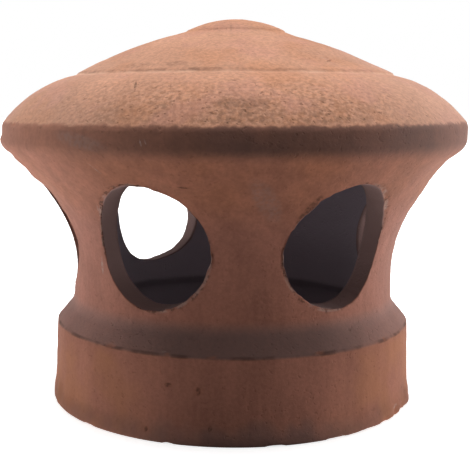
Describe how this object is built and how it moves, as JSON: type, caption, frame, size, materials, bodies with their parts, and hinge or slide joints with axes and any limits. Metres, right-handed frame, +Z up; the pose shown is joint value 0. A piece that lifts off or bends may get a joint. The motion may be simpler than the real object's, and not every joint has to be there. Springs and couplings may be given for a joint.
{
  "type": "roof vent lantern",
  "caption": "Hollow unglazed clay roof vent lantern: a shallow tiered cap with a wide brim over a flared, pierced waist and a plain collar that slips over a vent pipe.",
  "frame": {"origin": "centre of the flat rim that the lantern stands on, at its underside", "axes": "+Z up along the axis of turning; -Y is the front, between two vents; +X is to the right seen from the front"},
  "size_m": [0.2, 0.2, 0.1634],
  "materials": {
    "terracotta": "unglazed, sandy and matt"
  },
  "bodies": {
    "root": {"lantern": "terracotta"}
  },
  "joints": []
}
